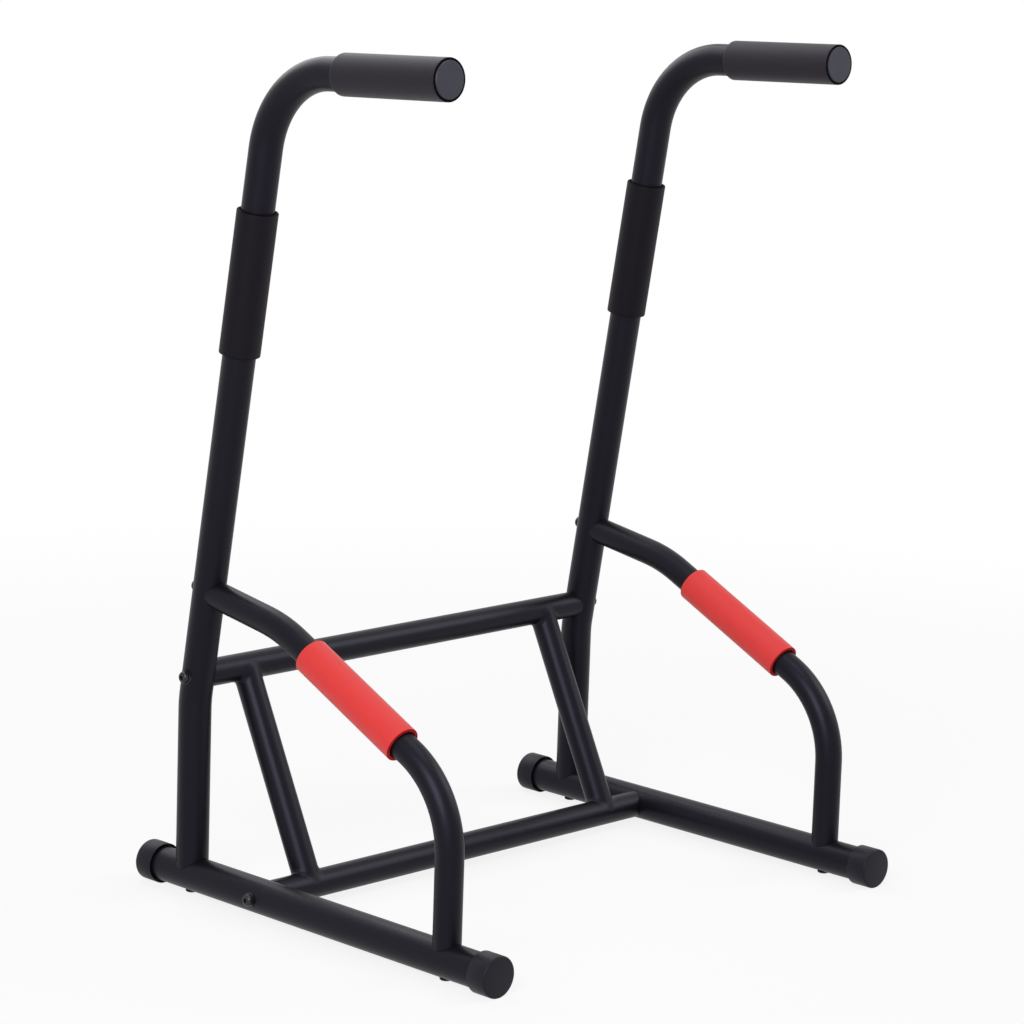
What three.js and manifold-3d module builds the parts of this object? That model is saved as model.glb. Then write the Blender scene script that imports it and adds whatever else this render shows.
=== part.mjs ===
// A dip station: two bent-tube side frames with foam-covered handles and low push-up
// bars, held apart by two braced crossbars. All lengths are in millimetres.
//
// X runs from the left side frame to the right one, the handles point to -Y, which is
// the front, and Z points up. The origin is on the floor, under the middle of the base.
// Heights are measured from the axis of the base tubes, and reaches from the upright's
// foot forward.

import * as THREE from 'three';
import { mergeVertices } from 'three/addons/utils/BufferGeometryUtils.js';
import Module from 'manifold-3d';

const wasm = await Module();
wasm.setup();

// Overall layout
const trackWidth = 635; // between the middle planes of the two side frames
const rearOverhang = 74; // of the base, behind the upright's axis
const frontOverhang = 80; // of the base, in front of the push-up bar's foot

// Fits and cuts
const fitGap = 0.3; // left between two pieces that touch
const overrun = 5; // how far a cutting tool runs past what it cuts

// Base tubes
const baseTubeDiameter = 40;
const baseTubeWall = 2;

// Foot caps, pushed over the ends of the base tubes
const capWall = 3.2;
const capEndThickness = 3.5;
const capLength = 26;
const capEdgeRadius = 1.2;
const capFlatDepth = 0.4; // worn flat that the cap stands on

// Uprights, each one bent tube from the base to the end of the handle
const uprightDiameter = 38;
const uprightWall = 2;
const kneeHeight = 205; // corner where the upright starts to lean forward
const kneeRadius = 120;
const shoulderReach = 115;
const shoulderHeight = 932;
const shoulderRadius = 106;
const handleReach = 386; // to the outer face of the handle's end plug
const handleRise = 10; // of the handle's end over the shoulder corner

// Push-up bars, each one bent tube from the upright down to the front of the base
const pushBarDiameter = 32;
const pushBarWall = 1.5;
const pushBarJointHeight = 336;
const pushBarShoulderRun = 126; // from the upright's axis to the first corner
const pushBarShoulderRadius = 186;
const pushBarReach = 420; // to the axis of its foot
const pushBarCornerHeight = 185;
const pushBarCornerRadius = 113;

// Crossbars and the struts that are welded between them
const crossbarDiameter = 32;
const crossbarWall = 1.5;
const upperCrossbarHeight = 235.5;
const lowerCrossbarReach = 122.5;
const strutDiameter = 32;
const strutWall = 1.5;
const strutInset = 71; // from the side frame's middle plane to the strut's axis

// Foam grips, stretched over the tubes
const gripDiameter = 47;
const handleGripLength = 160;
const handleGripSetback = 0.8; // behind the outer face of the end plug
const uprightGripLength = 165;
const uprightGripDrop = 70; // below the start of the shoulder bend
const pushGripDiameter = 42.5;
const pushGripLength = 165;
const pushGripSetback = 27; // after the end of the push-up bar's first bend

// Handle end plugs
const plugDiscDiameter = 41.5;
const plugDiscThickness = 3;
const plugDiscBevel = 0.8;
const plugStemLength = 18;
const plugStemWall = 2;

// Bolts, washers and the threaded plates that are welded into the tube ends
const boltDiameter = 8;
const boltPointBevel = 1;
const boltPointReach = 3; // past the threaded plate
const boltHeadDiameter = 14;
const boltHeadRim = 0.7; // straight edge of the head, under its dome
const boltHeadFlatDiameter = 7;
const buttonHeadHeight = 4.4;
const buttonSocketDepth = 2.6;
const lowHeadFloorGap = 0.3; // under the heads of the bolts below the base tubes
const lowSocketDepth = 1.5;
const socketWidth = 5; // across the flats of the hexagon
const boltHoleGap = 0.3; // all round the bolt, in tubes and threaded plates
const washerDiameter = 17;
const washerThickness = 1.5;
const threadPlateThickness = 8;
const threadPlateSetback = 3; // behind the saddle that the tube end is cut to

// Facets
const tubeSides = 20;
const boltSides = 16;
const domeSteps = 3;
const edgeSteps = 2;
const bendStep = THREE.MathUtils.degToRad(10);

// Sizes that follow from the ones above
const baseLength = rearOverhang + pushBarReach + frontOverhang; // over the foot caps
const baseTubeRadius = baseTubeDiameter / 2;
const uprightRadius = uprightDiameter / 2;
const pushBarRadius = pushBarDiameter / 2;
const crossbarRadius = crossbarDiameter / 2;
const strutRadius = strutDiameter / 2;
const boltHoleRadius = boltDiameter / 2 + boltHoleGap;
const capBoreRadius = baseTubeRadius + fitGap;
const capOuterRadius = capBoreRadius + capWall;
const baseAxisHeight = capOuterRadius - capFlatDepth;
const lowHeadHeight = baseAxisHeight - capBoreRadius - lowHeadFloorGap;
const sides = [
  { name: 'left', outward: -1 },
  { name: 'right', outward: 1 },
];

// Materials
const paint = { color: 0x212226, roughness: 0.45, metalness: 0.3 };
const darkFoam = { color: 0x303134, roughness: 0.95, metalness: 0 };
const redFoam = { color: 0xe33a34, roughness: 0.8, metalness: 0 };
const capRubber = { color: 0x2b2c2f, roughness: 0.8, metalness: 0 };
const plugPlastic = { color: 0x3f4148, roughness: 0.6, metalness: 0 };
const blackSteel = { color: 0x1a1a1c, roughness: 0.35, metalness: 0.8 };
const zincSteel = { color: 0x9c9da0, roughness: 0.4, metalness: 0.9 };

// A place in a side frame's middle plane
function place(reach, height) {
  return new THREE.Vector3(0, baseLength / 2 - rearOverhang - reach, height);
}

function direction(from, to) {
  return new THREE.Vector3().subVectors(to, from).normalize();
}

// The rings of one bend: round the corner, from one straight run to the next
function bendStations(before, corner, after, radius) {
  const arriving = direction(before, corner);
  const turn = arriving.angleTo(direction(corner, after));
  const axis = new THREE.Vector3().crossVectors(arriving, direction(corner, after)).normalize();
  const start = corner.clone().addScaledVector(arriving, -radius * Math.tan(turn / 2));
  const centre = start.clone().addScaledVector(new THREE.Vector3().crossVectors(axis, arriving), radius);
  const steps = Math.ceil(turn / bendStep);
  return Array.from({ length: steps + 1 }, (_, step) => {
    const angle = (turn * step) / steps;
    const spoke = new THREE.Vector3().subVectors(start, centre).applyAxisAngle(axis, angle);
    return { point: spoke.add(centre), tangent: arriving.clone().applyAxisAngle(axis, angle) };
  });
}

// A tube's centreline, with a station for each ring of the tube and none between them
class TubeRoute extends THREE.Curve {
  constructor(stations) {
    super();
    this.stations = stations;
    this.steps = stations.length - 1;
    this.distances = [0];
    for (let step = 1; step <= this.steps; step += 1) {
      const run = stations[step].point.distanceTo(stations[step - 1].point);
      this.distances.push(this.distances[step - 1] + run);
    }
  }

  // A route through corners, with a round bend at each one between the first and the last
  static through(corners, radii = []) {
    const last = corners.length - 1;
    const stations = [{ point: corners[0], tangent: direction(corners[0], corners[1]) }];
    const bendRanges = radii.map((radius, index) => {
      const first = stations.length;
      stations.push(...bendStations(corners[index], corners[index + 1], corners[index + 2], radius));
      return [first, stations.length - 1];
    });
    stations.push({ point: corners[last], tangent: direction(corners[last - 1], corners[last]) });
    const route = new TubeRoute(stations);
    route.bends = bendRanges.map(([first, end]) => ({
      start: route.distances[first],
      end: route.distances[end],
    }));
    return route;
  }

  get length() {
    return this.distances[this.steps];
  }

  getPoint(share, target = new THREE.Vector3()) {
    return target.copy(this.stations[Math.round(share * this.steps)].point);
  }

  getPointAt(share, target) {
    return this.getPoint(share, target);
  }

  getTangentAt(share, target = new THREE.Vector3()) {
    return target.copy(this.stations[Math.round(share * this.steps)].tangent);
  }

  // The point and the way ahead at a share of the run between two stations
  onRun(step, share) {
    const from = this.stations[step].point;
    const to = this.stations[step + 1].point;
    return { point: from.clone().lerp(to, share), tangent: direction(from, to) };
  }

  at(distance) {
    let step = 0;
    while (step < this.steps - 1 && this.distances[step + 1] < distance) {
      step += 1;
    }
    const run = this.distances[step + 1] - this.distances[step];
    return this.onRun(step, (distance - this.distances[step]) / run);
  }

  atHeight(height) {
    let step = 0;
    while (step < this.steps - 1 && this.stations[step + 1].point.z < height) {
      step += 1;
    }
    const low = this.stations[step].point.z;
    return this.onRun(step, (height - low) / (this.stations[step + 1].point.z - low));
  }

  between(start, end) {
    const inner = this.stations.filter(
      (_, step) => this.distances[step] > start && this.distances[step] < end,
    );
    return new TubeRoute([this.at(start), ...inner, this.at(end)]);
  }
}

// A closed geometry as a solid that can be joined and cut
function solidOf(geometry) {
  geometry.deleteAttribute('normal');
  geometry.deleteAttribute('uv');
  const merged = mergeVertices(geometry);
  const corners = merged.index.array;
  const triVerts = [];
  for (let first = 0; first < corners.length; first += 3) {
    const triangle = corners.slice(first, first + 3);
    if (new Set(triangle).size === 3) {
      triVerts.push(...triangle);
    }
  }
  return new wasm.Manifold(
    new wasm.Mesh({
      numProp: 3,
      vertProperties: merged.attributes.position.array,
      triVerts: new Uint32Array(triVerts),
    }),
  );
}

function geometryOf(solid) {
  const { vertProperties, triVerts } = solid.getMesh();
  const geometry = new THREE.BufferGeometry();
  geometry.setAttribute('position', new THREE.BufferAttribute(vertProperties, 3));
  geometry.setIndex(new THREE.BufferAttribute(triVerts, 1));
  geometry.computeVertexNormals();
  return geometry;
}

function piece(name, solid, look) {
  const mesh = new THREE.Mesh(geometryOf(solid), new THREE.MeshStandardMaterial(look));
  mesh.name = name;
  return mesh;
}

function circle(radius) {
  return Array.from({ length: tubeSides }, (_, side) => {
    const angle = (2 * Math.PI * (side + 0.5)) / tubeSides;
    return new THREE.Vector2(radius * Math.cos(angle), radius * Math.sin(angle));
  });
}

// A round bar along a route, or a tube where it has a bore
function roundBar(route, radius, boreRadius = 0) {
  const section = new THREE.Shape(circle(radius));
  if (boreRadius > 0) {
    section.holes.push(new THREE.Path(circle(boreRadius)));
  }
  return solidOf(new THREE.ExtrudeGeometry(section, { extrudePath: route, steps: route.steps }));
}

// A turned solid: the outline's x is the radius, and the solid's axis is Y
function turned(outline, segments) {
  return solidOf(new THREE.LatheGeometry(outline.map(([x, y]) => new THREE.Vector2(x, y)), segments));
}

// A hole for a bolt, right through whatever lies around a place
function boltHole(at, along, reach) {
  const ends = [-reach, reach].map((offset) => at.clone().addScaledVector(along, offset));
  return roundBar(TubeRoute.through(ends), boltHoleRadius);
}

// Routes of the bent tubes, in the middle plane of a side frame
const uprightCorners = [
  place(0, 0),
  place(0, kneeHeight),
  place(shoulderReach, shoulderHeight),
  place(handleReach - plugDiscThickness - fitGap, shoulderHeight + handleRise),
];
const uprightRoute = TubeRoute.through(uprightCorners, [kneeRadius, shoulderRadius]);

const pushBarJoint = uprightRoute.atHeight(pushBarJointHeight);
const across = new THREE.Vector3(1, 0, 0);
const pushBarStart = new THREE.Vector3().crossVectors(across, pushBarJoint.tangent);
const pushBarCorners = [
  pushBarJoint.point,
  pushBarJoint.point.clone().addScaledVector(pushBarStart, pushBarShoulderRun),
  place(pushBarReach, pushBarCornerHeight),
  place(pushBarReach, 0),
];
const pushBarRoute = TubeRoute.through(pushBarCorners, [pushBarShoulderRadius, pushBarCornerRadius]);

const baseTubeHalf = baseLength / 2 - capEndThickness - fitGap;
const baseRoute = TubeRoute.through([
  new THREE.Vector3(0, baseTubeHalf, 0),
  new THREE.Vector3(0, -baseTubeHalf, 0),
]);

// The space that a tube takes, with the gap that its neighbours keep
const uprightSpace = roundBar(uprightRoute, uprightRadius + fitGap);
const baseSpace = roundBar(baseRoute, baseTubeRadius + fitGap);

// Bolted joints: where a tube's end sits on the tube that the bolt goes through
const upperCrossbarJoint = uprightRoute.atHeight(upperCrossbarHeight).point;
const lowerCrossbarJoint = place(lowerCrossbarReach, 0);
const down = new THREE.Vector3(0, 0, -1);
const joints = [
  {
    name: 'upper_crossbar',
    at: upperCrossbarJoint,
    outward: (side) => new THREE.Vector3(side.outward, 0, 0),
    through: { route: uprightRoute, radius: uprightRadius },
    boreRadius: crossbarRadius - crossbarWall,
    hasWasher: true,
  },
  {
    name: 'lower_crossbar',
    at: lowerCrossbarJoint,
    outward: (side) => new THREE.Vector3(side.outward, 0, 0),
    through: { route: baseRoute, radius: baseTubeRadius },
    boreRadius: crossbarRadius - crossbarWall,
    hasWasher: true,
  },
  {
    name: 'push_up_bar_top',
    at: pushBarJoint.point,
    outward: () => pushBarStart.clone().negate(),
    through: { route: uprightRoute, radius: uprightRadius },
    boreRadius: pushBarRadius - pushBarWall,
    hasWasher: true,
  },
  {
    name: 'push_up_bar_foot',
    at: place(pushBarReach, 0),
    outward: () => down.clone(),
    through: { route: baseRoute, radius: baseTubeRadius },
    boreRadius: pushBarRadius - pushBarWall,
    hasWasher: false,
  },
  {
    name: 'upright_foot',
    at: place(0, 0),
    outward: () => down.clone(),
    through: { route: baseRoute, radius: baseTubeRadius },
    boreRadius: uprightRadius - uprightWall,
    hasWasher: false,
  },
];

// A tube with the holes for the bolts that go through it
function drilled(tube, route, radius) {
  const passing = joints.filter((joint) => joint.through.route === route);
  return passing.reduce((solid, joint) => {
    const along = joint.outward(sides[0]);
    return solid.subtract(boltHole(joint.at, along, radius + overrun));
  }, tube);
}

// A bolt with a hexagon socket in a domed head: +Y is outward, and 0 is the middle of the tube
function bolt(joint) {
  const headHeight = joint.hasWasher ? buttonHeadHeight : lowHeadHeight;
  const socketDepth = joint.hasWasher ? buttonSocketDepth : lowSocketDepth;
  const washerStack = joint.hasWasher ? washerThickness + fitGap : 0;
  const seat = joint.through.radius + fitGap + washerStack;
  const plateFar = joint.through.radius + fitGap + threadPlateSetback + threadPlateThickness;
  const point = -plateFar - boltPointReach;
  const flatRadius = boltHeadFlatDiameter / 2;
  const dome = Array.from({ length: domeSteps + 1 }, (_, step) => {
    const angle = (Math.PI / 2) * (step / domeSteps);
    const spread = (boltHeadDiameter / 2 - flatRadius) * Math.cos(angle);
    return [flatRadius + spread, seat + boltHeadRim + (headHeight - boltHeadRim) * Math.sin(angle)];
  });
  const outline = [
    [0, point],
    [boltDiameter / 2 - boltPointBevel, point],
    [boltDiameter / 2, point + boltPointBevel],
    [boltDiameter / 2, seat],
    [boltHeadDiameter / 2, seat],
    ...dome,
    [0, seat + headHeight],
  ];
  const socketCorner = socketWidth / Math.sqrt(3);
  const socket = new THREE.CylinderGeometry(socketCorner, socketCorner, socketDepth + overrun, 6);
  socket.translate(0, seat + headHeight - socketDepth + (socketDepth + overrun) / 2, 0);
  return turned(outline, boltSides).subtract(solidOf(socket));
}

// The threaded plate that is welded inside the end of the tube that the bolt pulls in
function threadPlate(joint) {
  const near = -joint.through.radius - fitGap - threadPlateSetback;
  const far = near - threadPlateThickness;
  const rim = joint.boreRadius - fitGap;
  const outline = [
    [boltHoleRadius, far],
    [rim, far],
    [rim, near],
    [boltHoleRadius, near],
    [boltHoleRadius, far],
  ];
  return turned(outline, boltSides);
}

// A washer bent to the tube that it lies on
function saddleWasher(joint, side) {
  const outward = joint.outward(side);
  const inner = joint.through.radius + fitGap;
  const far = joint.at.clone().addScaledVector(outward, inner + washerThickness + overrun);
  const blank = roundBar(TubeRoute.through([joint.at, far]), washerDiameter / 2);
  return blank
    .intersect(roundBar(joint.through.route, inner + washerThickness))
    .subtract(roundBar(joint.through.route, inner))
    .subtract(boltHole(joint.at, outward, inner + washerThickness + overrun));
}

function boltedJoint(joint, side) {
  const stack = new THREE.Group();
  stack.add(
    piece(`${side.name}_${joint.name}_bolt`, bolt(joint), blackSteel),
    piece(`${side.name}_${joint.name}_threaded_plate`, threadPlate(joint), zincSteel),
  );
  stack.position.copy(joint.at);
  stack.quaternion.setFromUnitVectors(new THREE.Vector3(0, 1, 0), joint.outward(side));
  return stack;
}

// A cup pushed over the end of a base tube, with its closed end at +Y and its flat at -Z
function footCap() {
  const inside = capLength - capEndThickness;
  const edge = Array.from({ length: edgeSteps + 1 }, (_, step) => {
    const angle = (Math.PI / 2) * (step / edgeSteps);
    const ring = capOuterRadius - capEdgeRadius;
    return [ring + capEdgeRadius * Math.cos(angle), capLength - capEdgeRadius * (1 - Math.sin(angle))];
  });
  const outline = [
    [0, inside],
    [capBoreRadius, inside],
    [capBoreRadius, 0],
    [capOuterRadius, 0],
    ...edge,
    [0, capLength],
  ];
  const below = new THREE.BoxGeometry(baseTubeDiameter, capLength + 2 * overrun, overrun);
  below.translate(0, capLength / 2, -baseAxisHeight - overrun / 2);
  return turned(outline, tubeSides).subtract(solidOf(below));
}

// A disc that closes the handle's end, on a hollow stem that grips the tube's bore; +Y is outward
function endPlug() {
  const discRadius = plugDiscDiameter / 2;
  const stemRadius = uprightRadius - uprightWall - fitGap;
  const boreRadius = stemRadius - plugStemWall;
  const discBack = -plugDiscThickness;
  const stemEnd = discBack - plugStemLength;
  const outline = [
    [0, discBack],
    [boreRadius, discBack],
    [boreRadius, stemEnd],
    [stemRadius, stemEnd],
    [stemRadius, discBack],
    [discRadius, discBack],
    [discRadius, -plugDiscBevel],
    [discRadius - plugDiscBevel, 0],
    [0, 0],
  ];
  return turned(outline, tubeSides);
}

// The foam sleeves of a side frame; the handle's one is stretched over its end plug's disc
const handleEnd = uprightRoute.stations[uprightRoute.steps];
const plugFace = handleEnd.point.clone().addScaledVector(handleEnd.tangent, fitGap + plugDiscThickness);
const pastPlug = plugFace.clone().addScaledVector(handleEnd.tangent, overrun);
const plugSpace = roundBar(TubeRoute.through([handleEnd.point, pastPlug]), plugDiscDiameter / 2 + fitGap);
const handleGripEnd = uprightRoute.length + fitGap + plugDiscThickness - handleGripSetback;
const uprightGripEnd = uprightRoute.bends[1].start - uprightGripDrop;
const grips = [
  {
    name: 'handle_grip',
    on: uprightRoute,
    start: handleGripEnd - handleGripLength,
    length: handleGripLength,
    boreRadius: uprightRadius + fitGap,
    radius: gripDiameter / 2,
    foam: darkFoam,
  },
  {
    name: 'upright_grip',
    on: uprightRoute,
    start: uprightGripEnd - uprightGripLength,
    length: uprightGripLength,
    boreRadius: uprightRadius + fitGap,
    radius: gripDiameter / 2,
    foam: darkFoam,
  },
  {
    name: 'push_up_grip',
    on: pushBarRoute,
    start: pushBarRoute.bends[0].end + pushGripSetback,
    length: pushGripLength,
    boreRadius: pushBarRadius + fitGap,
    radius: pushGripDiameter / 2,
    foam: redFoam,
  },
];

function grip({ on, start, length, boreRadius, radius }) {
  return roundBar(on.between(start, start + length), radius, boreRadius).subtract(plugSpace);
}

// A side frame with its bolts, in its own middle plane x = 0
function sideFrame(side) {
  const frame = new THREE.Group();
  const baseTube = roundBar(baseRoute, baseTubeRadius, baseTubeRadius - baseTubeWall);
  const upright = roundBar(uprightRoute, uprightRadius, uprightRadius - uprightWall);
  const pushBar = roundBar(pushBarRoute, pushBarRadius, pushBarRadius - pushBarWall);
  const uprightOnBase = upright.subtract(baseSpace);
  const pushBarOnBase = pushBar.subtract(baseSpace).subtract(uprightSpace);
  frame.add(
    piece(`${side.name}_base_tube`, drilled(baseTube, baseRoute, baseTubeRadius), paint),
    piece(`${side.name}_upright`, drilled(uprightOnBase, uprightRoute, uprightRadius), paint),
    piece(`${side.name}_push_up_bar`, pushBarOnBase, paint),
  );

  const rearCap = piece(`${side.name}_rear_foot_cap`, footCap(), capRubber);
  rearCap.position.y = baseLength / 2 - capLength;
  const frontCap = piece(`${side.name}_front_foot_cap`, footCap(), capRubber);
  frontCap.position.y = -rearCap.position.y;
  frontCap.rotation.z = Math.PI;

  const plug = piece(`${side.name}_handle_end_plug`, endPlug(), plugPlastic);
  plug.position.copy(plugFace);
  plug.quaternion.setFromUnitVectors(new THREE.Vector3(0, 1, 0), handleEnd.tangent);
  frame.add(rearCap, frontCap, plug);

  grips.forEach((sleeve) => {
    frame.add(piece(`${side.name}_${sleeve.name}`, grip(sleeve), sleeve.foam));
  });
  joints.forEach((joint) => {
    frame.add(boltedJoint(joint, side));
    if (joint.hasWasher) {
      frame.add(piece(`${side.name}_${joint.name}_washer`, saddleWasher(joint, side), blackSteel));
    }
  });
  frame.position.x = side.outward * (trackWidth / 2);
  return frame;
}

// A crossbar from one side frame to the other, its ends cut to the tubes that they sit on
function crossbarRoute(joint) {
  const ends = sides.map((side) => new THREE.Vector3(side.outward * (trackWidth / 2), joint.y, joint.z));
  return TubeRoute.through(ends);
}

function crossbar(route, sideSpace) {
  const tube = roundBar(route, crossbarRadius, crossbarRadius - crossbarWall);
  return sides.reduce((solid, side) => {
    return solid.subtract(sideSpace.translate([side.outward * (trackWidth / 2), 0, 0]));
  }, tube);
}

const upperRoute = crossbarRoute(upperCrossbarJoint);
const lowerRoute = crossbarRoute(lowerCrossbarJoint);
const crossbarSpaces = [upperRoute, lowerRoute].map((route) => roundBar(route, crossbarRadius + fitGap));

// A strut between the crossbars, its ends cut to them
function strut(side) {
  const middle = side.outward * (trackWidth / 2 - strutInset);
  const route = TubeRoute.through([
    upperCrossbarJoint.clone().setX(middle),
    lowerCrossbarJoint.clone().setX(middle),
  ]);
  const tube = roundBar(route, strutRadius, strutRadius - strutWall);
  return crossbarSpaces.reduce((solid, space) => solid.subtract(space), tube);
}

// The whole stand, lifted so that its foot caps rest on the floor
const dipStation = new THREE.Group();
dipStation.add(...sides.map(sideFrame));
dipStation.add(
  piece('upper_crossbar', crossbar(upperRoute, uprightSpace), paint),
  piece('lower_crossbar', crossbar(lowerRoute, baseSpace), paint),
);
sides.forEach((side) => {
  dipStation.add(piece(`${side.name}_strut`, strut(side), paint));
});
dipStation.position.z = baseAxisHeight;

export default dipStation;
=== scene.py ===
import math

import bmesh
import bpy
from mathutils import Matrix, Quaternion, Vector


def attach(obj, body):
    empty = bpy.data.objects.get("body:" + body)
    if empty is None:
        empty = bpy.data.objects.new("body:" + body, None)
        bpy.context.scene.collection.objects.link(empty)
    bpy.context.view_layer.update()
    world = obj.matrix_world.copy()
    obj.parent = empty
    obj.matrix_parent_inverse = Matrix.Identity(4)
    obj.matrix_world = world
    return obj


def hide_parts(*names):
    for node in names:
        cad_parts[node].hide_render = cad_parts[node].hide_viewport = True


# A dip station in painted steel tube with foam grips. All sizes are in metres, X runs from
# the left side frame to the right one, the handles point to -Y and the floor is at Z 0.
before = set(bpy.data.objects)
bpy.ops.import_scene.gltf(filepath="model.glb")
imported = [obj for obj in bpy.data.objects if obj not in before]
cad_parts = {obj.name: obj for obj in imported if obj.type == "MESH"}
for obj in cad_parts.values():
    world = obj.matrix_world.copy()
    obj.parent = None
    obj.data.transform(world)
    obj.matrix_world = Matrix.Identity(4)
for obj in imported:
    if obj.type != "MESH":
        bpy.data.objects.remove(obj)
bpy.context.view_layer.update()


# The camera stands in front of the left side frame, a little above the handles' middle, and
# is turned by the small angle at which the photograph hangs.
aim = Vector((-0.01008, 0.02859, 0.51455))
camera_azimuth = math.radians(-45.723)
camera_elevation = math.radians(9.884)
camera_roll = math.radians(1.882)
camera_distance = 4.1838
lens_length = 127.07
frame_shift = (0.0059, -0.0605)

towards_camera = Vector((
    math.sin(camera_azimuth) * math.cos(camera_elevation),
    -math.cos(camera_azimuth) * math.cos(camera_elevation),
    math.sin(camera_elevation),
))
camera = bpy.data.objects.new("camera", bpy.data.cameras.new("camera"))
camera.data.lens = lens_length
camera.data.shift_x, camera.data.shift_y = frame_shift
camera.location = aim + towards_camera * camera_distance
camera.rotation_mode = "QUATERNION"
level_look = (-towards_camera).to_track_quat("-Z", "Y")
camera.rotation_quaternion = level_look @ Quaternion((0, 0, 1), camera_roll)
bpy.context.scene.collection.objects.link(camera)
bpy.context.scene.camera = camera


# Base tubes: one straight steel tube under each side frame, drilled for the bolts of the
# three tubes that stand on it or meet it, and powder coated in satin black.
track_width = 0.635
rear_overhang = 0.074
front_overhang = 0.080
push_bar_reach = 0.420
base_length = rear_overhang + push_bar_reach + front_overhang
base_tube_radius = 0.020
base_tube_wall = 0.002
base_axis_height = 0.0231
base_tube_setback = 0.0038
lower_crossbar_reach = 0.1225
fit_gap = 0.0003
bolt_hole_radius = 0.0043
drill_reach = 0.030
tube_sides = 72
bend_step = math.radians(3)
crease_angle = math.radians(35)
sides = {"left": -1, "right": 1}
across = Vector((1, 0, 0))
down = Vector((0, 0, -1))


class Varying:
    """A number or colour that varies over a surface; sums and products add their Math nodes."""

    def __init__(self, finish, socket):
        self.finish = finish
        self.socket = socket

    def combined(self, operation, first, second):
        return self.finish.add("ShaderNodeMath", {"operation": operation}, {0: first, 1: second})

    def __add__(self, other):
        return self.combined("ADD", self, other)

    def __mul__(self, other):
        return self.combined("MULTIPLY", self, other)

    __radd__ = __add__
    __rmul__ = __mul__


class Finish:
    """A material, or the surround, in the making."""

    def __init__(self, owner):
        self.owner = owner
        owner.use_nodes = True
        self.tree = owner.node_tree
        self.tree.nodes.clear()

    @property
    def place(self):
        return self.add("ShaderNodeTexCoord", output="Object")

    def add(self, kind, settings=None, inputs=None, output=0):
        """Adds a node, with its settings first and then the values or links of its sockets."""
        node = self.tree.nodes.new(kind)
        for setting, value in (settings or {}).items():
            setattr(node, setting, value)
        for name, value in (inputs or {}).items():
            if isinstance(value, Varying):
                self.tree.links.new(value.socket, node.inputs[name])
            elif isinstance(value, tuple) and node.inputs[name].type == "RGBA":
                node.inputs[name].default_value = (*value, 1)
            else:
                node.inputs[name].default_value = value
        return Varying(self, node.outputs[output]) if node.outputs else None

    def noise(self, size, detail=2.0, roughness=0.5):
        """Cloudy noise from 0 to 1, with patches of about this size."""
        return self.add(
            "ShaderNodeTexNoise",
            inputs={
                "Vector": self.place, "Scale": 1 / size, "Detail": detail, "Roughness": roughness,
            },
        )

    def blend(self, share, first, second):
        """One colour turning into another by a share from 0 to 1."""
        return self.add(
            "ShaderNodeMix", {"data_type": "RGBA"}, {0: share, 6: first, 7: second}, output=2
        )

    def relief(self, height, depth):
        """The surface's normal over small bumps of this depth."""
        return self.add(
            "ShaderNodeBump", inputs={"Height": height, "Distance": depth}, output="Normal"
        )

    def surface(self, **inputs):
        named = {name.replace("_", " "): value for name, value in inputs.items()}
        shader = self.add("ShaderNodeBsdfPrincipled", inputs=named)
        self.add("ShaderNodeOutputMaterial", inputs={"Surface": shader})
        return self.owner


def new_material(name):
    return Finish(bpy.data.materials.new(name))


def at(reach, height):
    """A place in a side frame's middle plane: forward of the upright's foot and above the
    base tube's axis."""
    return Vector((0, base_length / 2 - rear_overhang - reach, base_axis_height + height))


def pull(mesh, ring, offset):
    """Draws the open end of a tube out along a straight line."""
    drawn = bmesh.ops.extrude_edge_only(mesh, edges=ring)["geom"]
    bmesh.ops.translate(
        mesh, vec=offset, verts=[part for part in drawn if isinstance(part, bmesh.types.BMVert)]
    )
    return [
        part for part in drawn
        if isinstance(part, bmesh.types.BMEdge) and len(part.link_faces) == 1
    ]


def tube_skin(corners, bend_radii, radius):
    """The outside of a tube that runs through corners, with a round bend at each inner one."""
    mesh = bmesh.new()
    here = corners[0]
    ahead = (corners[1] - here).normalized()
    square = Matrix.Translation(here) @ ahead.to_track_quat("Z", "X").to_matrix().to_4x4()
    bmesh.ops.create_circle(mesh, segments=tube_sides, radius=radius, matrix=square)
    ring = list(mesh.edges)
    for corner, following, bend_radius in zip(corners[1:], corners[2:], bend_radii):
        after = (following - corner).normalized()
        turn = ahead.angle(after)
        axis = ahead.cross(after).normalized()
        cut_off = bend_radius * math.tan(turn / 2)
        start = corner - ahead * cut_off
        ring = pull(mesh, ring, start - here)
        bend = bmesh.ops.spin(
            mesh, geom=ring, cent=start + axis.cross(ahead) * bend_radius, axis=axis,
            angle=turn, steps=math.ceil(turn / bend_step), use_merge=False,
        )
        ring = [part for part in bend["geom_last"] if isinstance(part, bmesh.types.BMEdge)]
        here = corner + after * cut_off
        ahead = after
    pull(mesh, ring, corners[-1] - here)
    bmesh.ops.recalc_face_normals(mesh, faces=mesh.faces)
    return mesh


def tube(corners, bend_radii, radius, wall):
    """A hollow tube, open at both ends."""
    mesh = tube_skin(corners, bend_radii, radius)
    bmesh.ops.solidify(mesh, geom=mesh.faces, thickness=wall)
    bmesh.ops.recalc_face_normals(mesh, faces=mesh.faces)
    return mesh


def bar(corners, bend_radii, radius):
    """A solid bar, closed at both ends."""
    mesh = tube_skin(corners, bend_radii, radius)
    bmesh.ops.holes_fill(mesh, edges=mesh.edges, sides=0)
    bmesh.ops.recalc_face_normals(mesh, faces=mesh.faces)
    return mesh


def drill(centre, along):
    """A drill that goes right through a tube at a place on its axis."""
    reach = along * drill_reach
    return bar([centre - reach, centre + reach], [], bolt_hole_radius)


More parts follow.
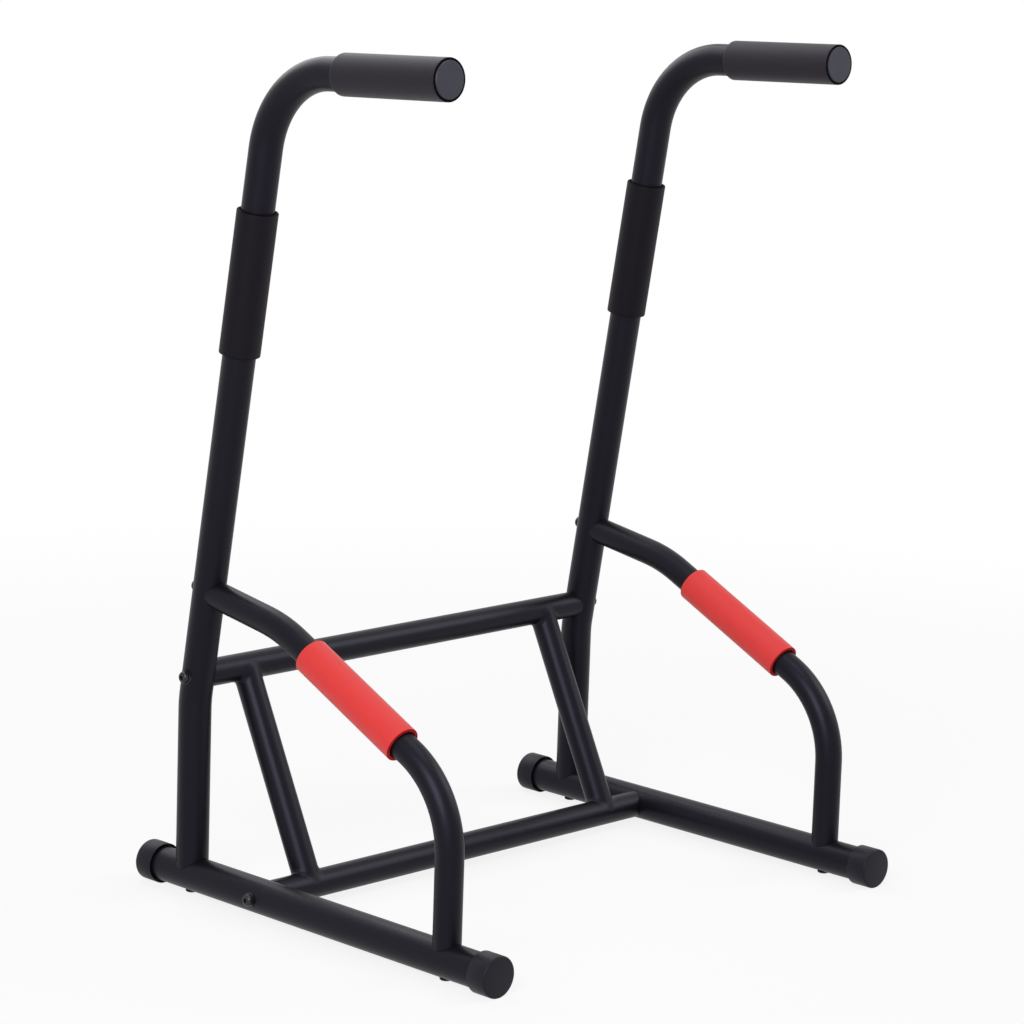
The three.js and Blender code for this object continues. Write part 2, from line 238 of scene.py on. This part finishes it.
def worked(mesh, tools, operation="DIFFERENCE"):
    """A closed mesh cut by tools, or kept only inside them."""
    bench = []
    for shape in (mesh, *tools):
        data = bpy.data.meshes.new("bench")
        shape.to_mesh(data)
        shape.free()
        bench.append(bpy.data.objects.new("bench", data))
        bpy.context.scene.collection.objects.link(bench[-1])
    for tool in bench[1:]:
        step = bench[0].modifiers.new("work", "BOOLEAN")
        step.operation = operation
        step.solver = "EXACT"
        step.object = tool
    made = bmesh.new()
    made.from_mesh(bench[0].evaluated_get(bpy.context.evaluated_depsgraph_get()).to_mesh())
    for shape in bench:
        bpy.data.meshes.remove(shape.data)
    return made


def finished(name, mesh, material, slot, *nodes, shift=0.0):
    """A mesh as a piece of the object that stands for its CAD nodes."""
    data = bpy.data.meshes.new(name)
    mesh.to_mesh(data)
    data.transform(Matrix.Translation((shift, 0, 0)))
    data.shade_smooth()
    data.set_sharp_from_angle(angle=crease_angle)
    data.materials.append(material)
    piece = bpy.data.objects.new(name, data)
    bpy.context.scene.collection.objects.link(piece)
    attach(piece, "root")
    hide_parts(*nodes)
    return piece


coat = new_material("satin_black_powder_coat")
coat_cloud = coat.noise(0.09, detail=3)
coat_grain = coat.noise(0.0007, detail=2)
satin_black = coat.surface(
    Base_Color=coat.blend(coat_cloud, (0.0032, 0.0030, 0.0044), (0.0046, 0.0043, 0.0062)),
    Roughness=0.33 + coat_cloud * 0.05 + coat_grain * 0.07,
    Specular_IOR_Level=0.175,
    Specular_Tint=(0.74, 0.72, 1.0),
    Normal=coat.relief(coat_grain, 0.00003),
)

base_ends = [
    Vector((0, base_length / 2 - base_tube_setback, base_axis_height)),
    Vector((0, base_tube_setback - base_length / 2, base_axis_height)),
]
base_tube = worked(
    tube(base_ends, [], base_tube_radius, base_tube_wall),
    [
        drill(at(0, 0), down),
        drill(at(push_bar_reach, 0), down),
        drill(at(lower_crossbar_reach, 0), across),
    ],
)
for side, outward in sides.items():
    finished(
        f"{side}_base_tube_painted", base_tube, satin_black, "frame_paint",
        f"{side}_base_tube", shift=outward * track_width / 2,
    )


# Foot caps: moulded rubber cups pushed over the ends of the base tubes. The mouth is opened
# out into a thin lip, the closed end has a rounded edge, and the underside is worn flat.
cap_outer_radius = 0.0235
cap_bore_radius = base_tube_radius + fit_gap
cap_lip_bore = 0.0227
cap_lip_depth = 0.005
cap_length = 0.026
cap_end_thickness = 0.0035
cap_edge_radius = 0.0018
cap_lip_rounding = 0.0003
turned_sides = 96
join_tolerance = 1e-6
ring_tolerance = 1e-5


def turned(outline):
    """A solid of revolution about Z. The outline gives radius and height."""
    mesh = bmesh.new()
    points = [mesh.verts.new((radius, 0, height)) for radius, height in outline]
    lines = [mesh.edges.new(pair) for pair in zip(points, points[1:])]
    bmesh.ops.spin(
        mesh, geom=points + lines, axis=(0, 0, 1), cent=(0, 0, 0), angle=math.tau,
        steps=turned_sides, use_merge=True,
    )
    bmesh.ops.remove_doubles(mesh, verts=mesh.verts, dist=join_tolerance)
    bmesh.ops.recalc_face_normals(mesh, faces=mesh.faces)
    return mesh


def ring_edges(mesh, radius, height):
    """The edges of a turned solid that lie on one circle."""
    return [
        edge for edge in mesh.edges
        if all(
            abs(corner.co.z - height) < ring_tolerance
            and abs(corner.co.xy.length - radius) < ring_tolerance
            for corner in edge.verts
        )
    ]


def rounded(mesh, edges, radius, segments=4):
    bmesh.ops.bevel(
        mesh, geom=edges, offset=radius, affect="EDGES", segments=segments, profile=0.5,
        material=-1,
    )


def aimed(mesh, centre, along):
    """Puts a turned solid in place, with its +Z end pointing along a direction."""
    turn = along.to_track_quat("Z", "X").to_matrix().to_4x4()
    bmesh.ops.transform(mesh, matrix=Matrix.Translation(centre) @ turn, verts=mesh.verts)
    return mesh


rubber = new_material("moulded_cap_rubber")
rubber_cloud = rubber.noise(0.012, detail=4)
rubber_grain = rubber.noise(0.0009, detail=3)
cap_rubber = rubber.surface(
    Base_Color=rubber.blend(rubber_cloud, (0.0064, 0.0061, 0.0088), (0.0102, 0.0097, 0.0134)),
    Roughness=0.38 + rubber_cloud * 0.12,
    Specular_IOR_Level=0.175,
    Specular_Tint=(0.84, 0.81, 1.0),
    Normal=rubber.relief(rubber_grain, 0.00006),
)


def foot_cap(end):
    """The cap at the rear, +1, or the front, -1, end of a base tube."""
    inside = cap_length - cap_end_thickness
    mesh = turned([
        (0, inside),
        (cap_bore_radius, inside),
        (cap_bore_radius, cap_lip_depth),
        (cap_lip_bore, cap_lip_depth),
        (cap_lip_bore, 0),
        (cap_outer_radius, 0),
        (cap_outer_radius, cap_length),
        (0, cap_length),
    ])
    rounded(mesh, ring_edges(mesh, cap_outer_radius, cap_length), cap_edge_radius)
    rounded(mesh, ring_edges(mesh, cap_outer_radius, 0), cap_lip_rounding, segments=2)
    mouth = Vector((0, end * (base_length / 2 - cap_length), base_axis_height))
    aimed(mesh, mouth, Vector((0, end, 0)))
    bmesh.ops.bisect_plane(
        mesh, geom=mesh.verts[:] + mesh.edges[:] + mesh.faces[:], plane_co=(0, 0, 0),
        plane_no=down, clear_outer=True,
    )
    bmesh.ops.holes_fill(mesh, edges=mesh.edges, sides=0)
    bmesh.ops.recalc_face_normals(mesh, faces=mesh.faces)
    return mesh


for side, outward in sides.items():
    for name, end in (("rear", 1), ("front", -1)):
        finished(
            f"{side}_{name}_foot_cap_rubber", foot_cap(end), cap_rubber, "cap_rubber",
            f"{side}_{name}_foot_cap", shift=outward * track_width / 2,
        )


# Uprights: each is one tube that stands on the base, leans forward from a knee just above it
# and turns over at the shoulder into the handle. Its foot is cut to the base tube.
upright_radius = 0.019
upright_wall = 0.002
knee_height = 0.205
knee_radius = 0.120
shoulder_reach = 0.115
shoulder_height = 0.932
shoulder_radius = 0.106
handle_reach = 0.386
handle_rise = 0.010
plug_disc_thickness = 0.003
upper_crossbar_height = 0.2355
push_bar_joint_height = 0.336

upright_corners = [
    at(0, 0),
    at(0, knee_height),
    at(shoulder_reach, shoulder_height),
    at(handle_reach - plug_disc_thickness - fit_gap, shoulder_height + handle_rise),
]
upright_bends = [knee_radius, shoulder_radius]
lean = (upright_corners[2] - upright_corners[1]).normalized()


def on_lean(height):
    """The place on the leaning run's axis at a height above the base tube's axis."""
    foot = upright_corners[1]
    return foot + lean * ((base_axis_height + height - foot.z) / lean.z)


upper_crossbar_joint = on_lean(upper_crossbar_height)
push_bar_joint = on_lean(push_bar_joint_height)
push_bar_start = across.cross(lean)


def base_space():
    return bar(base_ends, [], base_tube_radius + fit_gap)


def upright_space():
    return bar(upright_corners, upright_bends, upright_radius + fit_gap)


upright = worked(
    tube(upright_corners, upright_bends, upright_radius, upright_wall),
    [
        base_space(),
        drill(upper_crossbar_joint, across),
        drill(push_bar_joint, push_bar_start),
    ],
)
for side, outward in sides.items():
    finished(
        f"{side}_upright_painted", upright, satin_black, "frame_paint",
        f"{side}_upright", shift=outward * track_width / 2,
    )


# Push-up bars: each is one thinner tube that leaves the upright at a right angle, bends down
# towards the front and drops to the base. Both ends are cut to the tubes that they meet.
push_bar_radius = 0.016
push_bar_wall = 0.0015
push_bar_first_run = 0.126
push_bar_shoulder_radius = 0.186
push_bar_corner_height = 0.185
push_bar_corner_radius = 0.113

push_bar_corners = [
    push_bar_joint,
    push_bar_joint + push_bar_start * push_bar_first_run,
    at(push_bar_reach, push_bar_corner_height),
    at(push_bar_reach, 0),
]
push_bar_bends = [push_bar_shoulder_radius, push_bar_corner_radius]
push_bar = worked(
    tube(push_bar_corners, push_bar_bends, push_bar_radius, push_bar_wall),
    [base_space(), upright_space()],
)
for side, outward in sides.items():
    finished(
        f"{side}_push_up_bar_painted", push_bar, satin_black, "frame_paint",
        f"{side}_push_up_bar", shift=outward * track_width / 2,
    )


# Crossbars: two straight steel tubes between the side frames, one above the knees of the
# uprights and one between the base tubes. Their ends are cut to the tubes that they are
# bolted to.
crossbar_radius = 0.016
crossbar_wall = 0.0015
lower_crossbar_joint = at(lower_crossbar_reach, 0)


def crossbar_ends(joint):
    return [joint + across * outward * track_width / 2 for outward in sides.values()]


def moved(mesh, offset):
    bmesh.ops.translate(mesh, vec=offset, verts=mesh.verts)
    return mesh


for name, joint, space in (
    ("upper", upper_crossbar_joint, upright_space),
    ("lower", lower_crossbar_joint, base_space),
):
    crossbar = worked(
        tube(crossbar_ends(joint), [], crossbar_radius, crossbar_wall),
        [moved(space(), across * outward * track_width / 2) for outward in sides.values()],
    )
    finished(
        f"{name}_crossbar_painted", crossbar, satin_black, "frame_paint", f"{name}_crossbar"
    )


# Struts: a sloping tube near each end of the crossbars, cut to them and welded all round
# before painting. The weld is a smooth fillet that runs up both tubes and fills the cut.
strut_radius = 0.016
strut_wall = 0.0015
strut_inset = 0.071
weld_leg = 0.006
weld_lift = 0.0002
weld_root = 0.0012
weld_ripple = 0.00012
weld_ripples = 31
weld_points = 144
weld_roundness = 0.97
weld_shares = (0.0, 0.2, 0.4, 0.6, 0.8, 1.0)


def weld_fillet(joint, away):
    """The weld round a strut's end: rings that run from the strut to the crossbar, closed
    by one more ring that lies inside the two tubes."""
    beside = away.cross(across).normalized()

    def on_crossbar(shift, turn):
        out = beside * math.sin(turn) + away * math.cos(turn)
        return joint + across * shift + out * (crossbar_radius + weld_lift)

    mesh = bmesh.new()
    rings = [
        bmesh.ops.create_circle(mesh, segments=weld_points, radius=strut_radius)["verts"]
        for _ in range(len(weld_shares) + 1)
    ]
    for step in range(weld_points):
        angle = math.tau * step / weld_points
        out = across * math.cos(angle) + beside * math.sin(angle)
        rise = math.sqrt(1 - weld_roundness * math.sin(angle) ** 2)
        height = crossbar_radius * rise
        seam = joint + out * strut_radius + away * height
        leg = weld_leg + weld_ripple * math.sin(weld_ripples * angle)
        on_strut = joint + out * (strut_radius + weld_lift / 2) + away * (height + leg)
        turn = math.asin(math.sqrt(weld_roundness) * math.sin(angle))
        spread = Vector((
            math.cos(angle), math.sin(angle) * rise / math.sqrt(weld_roundness)
        )).normalized()
        on_bar = on_crossbar(
            strut_radius * math.cos(angle) + spread.x * leg,
            turn + spread.y * leg / crossbar_radius,
        )
        for ring, share in zip(rings, weld_shares):
            ring[step].co = (
                on_strut * (1 - share) ** 2
                + (seam + out * weld_lift) * (2 * share * (1 - share))
                + on_bar * share**2
            )
        rings[-1][step].co = seam - (out + away) * weld_root
    loops = [
        [edge for edge in mesh.edges if set(edge.verts) <= set(ring)] for ring in rings
    ]
    for one, other in zip(loops, loops[1:] + loops[:1]):
        bmesh.ops.bridge_loops(mesh, edges=one + other)
    bmesh.ops.recalc_face_normals(mesh, faces=mesh.faces)
    return mesh


for side, outward in sides.items():
    middle = across * outward * (track_width / 2 - strut_inset)
    ends = [upper_crossbar_joint + middle, lower_crossbar_joint + middle]
    spaces = [
        bar(crossbar_ends(joint), [], crossbar_radius + fit_gap)
        for joint in (upper_crossbar_joint, lower_crossbar_joint)
    ]
    strut = worked(tube(ends, [], strut_radius, strut_wall), spaces)
    finished(f"{side}_strut_painted", strut, satin_black, "frame_paint", f"{side}_strut")
    falling = (ends[1] - ends[0]).normalized()
    for name, joint, away in (("top", ends[0], falling), ("foot", ends[1], -falling)):
        finished(
            f"{side}_strut_{name}_weld", weld_fillet(joint, away), satin_black, "frame_paint"
        )


# Bolts: black button-head bolts with a hexagon socket, each through one tube into a threaded
# plate inside the end of another. The four under the base have lower heads, to clear the floor.
bolt_radius = 0.004
bolt_point_bevel = 0.001
bolt_point_reach = 0.003
bolt_head_radius = 0.007
bolt_head_rim = 0.0007
bolt_head_flat_radius = 0.0035
bolt_head_dome_steps = 8
button_head_height = 0.0044
button_socket_depth = 0.0026
low_head_height = 0.0025
low_socket_depth = 0.0015
socket_sides = 6
socket_width = 0.005
socket_corner_radius = socket_width / math.sqrt(3)
socket_edge = 0.00025
plate_setback = 0.003
plate_thickness = 0.008
washer_radius = 0.0085
washer_thickness = 0.0015
spangle_scale = 420.0

oxide = new_material("black_oxide_steel")
oxide_cloud = oxide.noise(0.004, detail=4)
oxide_grain = oxide.noise(0.0004, detail=2)
black_steel = oxide.surface(
    Base_Color=oxide.blend(oxide_cloud, (0.018, 0.017, 0.021), (0.042, 0.039, 0.046)),
    Metallic=0.75,
    Roughness=0.26 + oxide_cloud * 0.14,
    Normal=oxide.relief(oxide_grain, 0.00002),
)

zinc = new_material("zinc_plated_steel")
zinc_spangle = zinc.add(
    "ShaderNodeTexVoronoi", {"feature": "F1"}, {"Vector": zinc.place, "Scale": spangle_scale}
)
zinc_grain = zinc.noise(0.0008, detail=3)
zinc_steel = zinc.surface(
    Base_Color=zinc.blend(zinc_spangle, (0.30, 0.31, 0.32), (0.40, 0.41, 0.42)),
    Metallic=0.9,
    Roughness=0.34 + zinc_grain * 0.16,
    Normal=zinc.relief(zinc_grain, 0.00003),
)


def bolt(through_radius, has_washer):
    """A bolt with its head at +Z and the middle of the tube that it goes through at 0."""
    head_height = button_head_height if has_washer else low_head_height
    socket_depth = button_socket_depth if has_washer else low_socket_depth
    seat = through_radius + fit_gap
    point = -seat - plate_setback - plate_thickness - bolt_point_reach
    if has_washer:
        seat += washer_thickness + fit_gap
    top = seat + head_height
    dome = [
        (
            bolt_head_flat_radius
            + (bolt_head_radius - bolt_head_flat_radius) * math.cos(angle),
            seat + bolt_head_rim + (head_height - bolt_head_rim) * math.sin(angle),
        )
        for angle in (
            math.pi / 2 * step / bolt_head_dome_steps for step in range(bolt_head_dome_steps + 1)
        )
    ]
    mesh = turned([
        (0, point),
        (bolt_radius - bolt_point_bevel, point),
        (bolt_radius, point + bolt_point_bevel),
        (bolt_radius, seat),
        (bolt_head_radius, seat),
        *dome,
        (0, top),
    ])
    socket = bmesh.new()
    bmesh.ops.create_cone(
        socket, cap_ends=True, segments=socket_sides, radius1=socket_corner_radius,
        radius2=socket_corner_radius, depth=socket_depth * 2,
        matrix=Matrix.Translation((0, 0, top)),
    )
    mesh = worked(mesh, [socket])
    rim = [
        edge for edge in mesh.edges
        if all(
            corner.co.z > top - socket_edge and corner.co.xy.length < bolt_head_flat_radius
            for corner in edge.verts
        )
        and len({round(face.normal.z) for face in edge.link_faces}) > 1
    ]
    rounded(mesh, rim, socket_edge, segments=2)
    return mesh


def saddle_washer(centre, outward_way, route, bends, through_radius):
    """A round washer bent to the tube that it lies on."""
    inner = through_radius + fit_gap
    outer = inner + washer_thickness
    blank = bar([centre, centre + outward_way * drill_reach], [], washer_radius)
    disc = worked(blank, [bar(route, bends, outer)], "INTERSECT")
    return worked(disc, [bar(route, bends, inner), drill(centre, outward_way)])


upright_route = (upright_corners, upright_bends, upright_radius)
base_route = (base_ends, [], base_tube_radius)
joints = {
    "upper_crossbar": (upper_crossbar_joint, None, upright_route, True),
    "lower_crossbar": (lower_crossbar_joint, None, base_route, True),
    "push_up_bar_top": (push_bar_joint, -push_bar_start, upright_route, True),
    "push_up_bar_foot": (at(push_bar_reach, 0), down, base_route, False),
    "upright_foot": (at(0, 0), down, base_route, False),
}
for side, outward in sides.items():
    shift = outward * track_width / 2
    for joint, (centre, way, route, has_washer) in joints.items():
        way = way or across * outward
        finished(
            f"{side}_{joint}_bolt_steel",
            aimed(bolt(route[2], has_washer), centre, way),
            black_steel, "black_steel", f"{side}_{joint}_bolt", shift=shift,
        )
        if has_washer:
            finished(
                f"{side}_{joint}_washer_steel", saddle_washer(centre, way, *route),
                black_steel, "black_steel", f"{side}_{joint}_washer", shift=shift,
            )
        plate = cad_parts[f"{side}_{joint}_threaded_plate"]
        plate.data.materials.clear()
        plate.data.materials.append(zinc_steel)


# Foam grips: closed-cell foam sleeves with a smooth skin, cut to length and stretched over the
# tubes, with dull open cells at their ends. Their ends and bores are painted darker than the
# skin, as painted shade. The black ones sit on the handles and, in a darker and less glossy copy
# of the black foam that paints their shade, on the uprights, the red ones on the slope of the
# push-up bars.
grip_radius = 0.0235
handle_grip_length = 0.160
handle_grip_setback = 0.0008
upright_grip_length = 0.165
upright_grip_drop = 0.070
push_grip_radius = 0.02125
push_grip_length = 0.165
push_grip_setback = 0.027
grip_edge_radius = 0.0011
grip_mouth_gap = 0.0014
grip_mouth_depth = 0.006
plug_disc_radius = 0.02075
plug_disc_gap = 0.0009
end_shade_share = 0.35
grip_rings = 40
foam_pore_scale = 900.0


def foam(name, dark, light, gloss, cell_depth):
    """Closed-cell foam: fine open pores in a soft, slightly mottled skin."""
    finish = new_material(name)
    mottle = finish.noise(0.02, detail=4)
    pores = finish.add(
        "ShaderNodeTexVoronoi", {"feature": "F1"},
        {"Vector": finish.place, "Scale": foam_pore_scale},
    )
    skin = finish.noise(0.0022, detail=4, roughness=0.6)
    return finish.surface(
        Base_Color=finish.blend(mottle * 0.6 + skin * 0.4, dark, light),
        Roughness=0.54 + skin * 0.08,
        Specular_IOR_Level=gloss,
        Specular_Tint=(0.93, 0.86, 1.0),
        Sheen_Weight=gloss * 0.4,
        Sheen_Roughness=0.5,
        Normal=finish.relief(pores * 0.6 + skin, cell_depth),
    )


black_foam = foam(
    "black_foam", (0.0046, 0.0034, 0.0060), (0.0074, 0.0058, 0.0094),
    gloss=0.22, cell_depth=0.00008,
)
# A darker, less glossy copy of the black foam for the upright grips: painted shade.
shaded_black_foam = foam(
    "shaded_black_foam", (0.0038, 0.0030, 0.0048), (0.0060, 0.0048, 0.0076),
    gloss=0.10, cell_depth=0.00008,
)
# Darker black foam for the cut ends and bores, dull with open cells: its darkness is painted
# shade.
end_shade_black_foam = foam(
    "end_shade_black_foam", (0.0010, 0.0009, 0.0012), (0.0024, 0.0022, 0.0028),
    gloss=0.02, cell_depth=0.00020,
)
red_foam = foam(
    "red_foam", (0.59, 0.027, 0.023), (0.65, 0.034, 0.029), gloss=0.36, cell_depth=0.00006
)
# Darker red foam for the cut ends and bores, dull with open cells: its darkness is painted shade.
end_shade_red_foam = foam(
    "end_shade_red_foam", (0.32, 0.008, 0.007), (0.44, 0.012, 0.011), gloss=0.05, cell_depth=0.00012
)


def sleeve(start, along, length, radius, bore_radius, plug_depth=0.0):
    """A foam sleeve from a place on the tube's axis. Its bore opens a little at a free end,
    and to the plug's disc where it is stretched over an end plug. Its cut ends and its bore
    take the second material, a darker foam colour that paints their shade."""
    mouth = bore_radius + grip_mouth_gap
    if plug_depth:
        disc_room = plug_disc_radius + plug_disc_gap
        far_end = [
            (disc_room, length), (disc_room, length - plug_depth),
            (bore_radius, length - plug_depth),
        ]
    else:
        far_end = [(mouth, length), (bore_radius, length - grip_mouth_depth)]
    mesh = turned([
        (mouth, 0),
        *[(radius, length * step / grip_rings) for step in range(grip_rings + 1)],
        *far_end,
        (bore_radius, grip_mouth_depth),
        (mouth, 0),
    ])
    for height in (0, length):
        rounded(mesh, ring_edges(mesh, radius, height), grip_edge_radius)
    mesh.normal_update()
    for face in mesh.faces:
        middle = face.calc_center_median()
        in_bore = face.normal.dot(Vector((middle.x, middle.y, 0))) < 0
        # Faces of the ends and the bore take the darker foam that paints their shade.
        face.material_index = int(in_bore or abs(face.normal.z) > end_shade_share)
    return aimed(mesh, start, along)


handle_way = (upright_corners[3] - upright_corners[2]).normalized()
plug_face = upright_corners[3] + handle_way * (fit_gap + plug_disc_thickness)
handle_grip_start = plug_face - handle_way * (handle_grip_setback + handle_grip_length)
shoulder_cut_off = shoulder_radius * math.tan(lean.angle(handle_way) / 2)
upright_grip_top = upright_corners[2] - lean * (shoulder_cut_off + upright_grip_drop)
slope = (push_bar_corners[2] - push_bar_corners[1]).normalized()
first_cut_off = push_bar_shoulder_radius * math.tan(push_bar_start.angle(slope) / 2)
push_grip_start = push_bar_corners[1] + slope * (first_cut_off + push_grip_setback)
plug_seat = plug_disc_thickness + fit_gap - handle_grip_setback

for side, outward in sides.items():
    for name, mesh, material, end_shade_material, slot in (
        (
            "handle_grip",
            sleeve(
                handle_grip_start, handle_way, handle_grip_length, grip_radius,
                upright_radius + fit_gap, plug_seat,
            ),
            black_foam, end_shade_black_foam, "black_foam",
        ),
        (
            "upright_grip",
            sleeve(
                upright_grip_top - lean * upright_grip_length, lean, upright_grip_length,
                grip_radius, upright_radius + fit_gap,
            ),
            shaded_black_foam, end_shade_black_foam, "black_foam",
        ),
        (
            "push_up_grip",
            sleeve(
                push_grip_start, slope, push_grip_length, push_grip_radius,
                push_bar_radius + fit_gap,
            ),
            red_foam, end_shade_red_foam, "red_foam",
        ),
    ):
        grip = finished(
            f"{side}_{name}_foam", mesh, material, slot, f"{side}_{name}",
            shift=outward * track_width / 2,
        )
        grip.data.materials.append(end_shade_material)


# Handle end plugs: a moulded disc with a bevelled rim, on a hollow stem that grips the inside
# of the handle's tube.
plug_disc_bevel = 0.0008
plug_stem_length = 0.018
plug_stem_wall = 0.002

plastic = new_material("satin_plug_plastic")
plastic_cloud = plastic.noise(0.014, detail=3)
plastic_grain = plastic.noise(0.0006, detail=2)
plug_plastic = plastic.surface(
    Base_Color=plastic.blend(plastic_cloud, (0.0136, 0.0134, 0.0236), (0.0202, 0.0196, 0.0336)),
    Roughness=0.36 + plastic_cloud * 0.10,
    Specular_IOR_Level=0.34,
    Specular_Tint=(0.96, 0.95, 1.0),
    Normal=plastic.relief(plastic_grain, 0.00003),
)

stem_radius = upright_radius - upright_wall - fit_gap
stem_bore = stem_radius - plug_stem_wall
disc_back = -plug_disc_thickness
stem_end = disc_back - plug_stem_length
for side, outward in sides.items():
    plug = turned([
        (0, disc_back),
        (stem_bore, disc_back),
        (stem_bore, stem_end),
        (stem_radius, stem_end),
        (stem_radius, disc_back),
        (plug_disc_radius, disc_back),
        (plug_disc_radius, 0),
        (0, 0),
    ])
    rounded(plug, ring_edges(plug, plug_disc_radius, 0), plug_disc_bevel, segments=1)
    finished(
        f"{side}_handle_end_plug_plastic", aimed(plug, plug_face, handle_way), plug_plastic,
        "plug_plastic", f"{side}_handle_end_plug", shift=outward * track_width / 2,
    )


# The room: a pale floor that runs out to white, a white surround and four soft lamps. The
# camera and the gloss see the surround as plain white.
floor_radius = 40.0
floor_sides = 128
floor_colour = (0.76, 0.76, 0.76)
floor_clear_radius = 0.7
floor_white_radius = 2.4
floor_white_share = 0.84
surround_light = 0.18
lamps = {
    "overhead_lamp": {"azimuth": -20, "elevation": 78, "distance": 1.8, "width": 0.9, "watts": 8},
    "back_lamp": {"azimuth": 172, "elevation": 46, "distance": 2.0, "width": 1.7, "watts": 21},
    "front_lamp": {"azimuth": -62, "elevation": 23, "distance": 3.0, "width": 1.6, "watts": 68},
    "right_lamp": {"azimuth": 54, "elevation": 33, "distance": 3.0, "width": 1.7, "watts": 36},
}

floor_paint = new_material("pale_floor")
steps_out = floor_paint.add(
    "ShaderNodeVectorMath", {"operation": "LENGTH"}, {0: floor_paint.place}, output="Value"
)
fade = floor_paint.add(
    "ShaderNodeMapRange", {"interpolation_type": "SMOOTHSTEP"},
    {
        "Value": steps_out, "From Min": floor_clear_radius, "From Max": floor_white_radius,
        "To Min": floor_white_share, "To Max": 1.0,
    },
)
clear_views = [f"Is {kind} Ray" for kind in ("Camera", "Glossy", "Transmission")]
clear_view = sum(floor_paint.add("ShaderNodeLightPath", output=view) for view in clear_views)
matt = floor_paint.add("ShaderNodeBsdfDiffuse", inputs={"Color": floor_colour})
white = floor_paint.add("ShaderNodeEmission", inputs={"Color": (1, 1, 1), "Strength": 1.0})
floor_paint.add("ShaderNodeOutputMaterial", inputs={
    "Surface": floor_paint.add(
        "ShaderNodeMixShader", inputs={0: fade * clear_view, 1: matt, 2: white}
    ),
})

floor_mesh = bmesh.new()
bmesh.ops.create_circle(
    floor_mesh, cap_ends=True, segments=floor_sides, radius=floor_radius
)
floor_data = bpy.data.meshes.new("floor")
floor_mesh.to_mesh(floor_data)
floor_data.materials.append(floor_paint.owner)
floor = bpy.data.objects.new("floor", floor_data)
bpy.context.scene.collection.objects.link(floor)

surround = Finish(bpy.data.worlds.new("surround"))
bpy.context.scene.world = surround.owner
seen_white = sum(surround.add("ShaderNodeLightPath", output=view) for view in clear_views)
dim, bright = (
    surround.add("ShaderNodeBackground", inputs={"Color": (1, 1, 1), "Strength": strength})
    for strength in (surround_light, 1.0)
)
surround.add("ShaderNodeOutputWorld", inputs={
    "Surface": surround.add("ShaderNodeMixShader", inputs={0: seen_white, 1: dim, 2: bright}),
})

for name, placing in lamps.items():
    azimuth = math.radians(placing["azimuth"])
    elevation = math.radians(placing["elevation"])
    towards_lamp = Vector((
        math.sin(azimuth) * math.cos(elevation),
        -math.cos(azimuth) * math.cos(elevation),
        math.sin(elevation),
    ))
    lamp = bpy.data.objects.new(name, bpy.data.lights.new(name, "AREA"))
    lamp.data.shape = "SQUARE"
    lamp.data.size = placing["width"]
    lamp.data.energy = placing["watts"]
    lamp.location = aim + towards_lamp * placing["distance"]
    lamp.rotation_mode = "QUATERNION"
    lamp.rotation_quaternion = (-towards_lamp).to_track_quat("-Z", "Y")
    bpy.context.scene.collection.objects.link(lamp)

bpy.context.scene.view_settings.view_transform = "Standard"
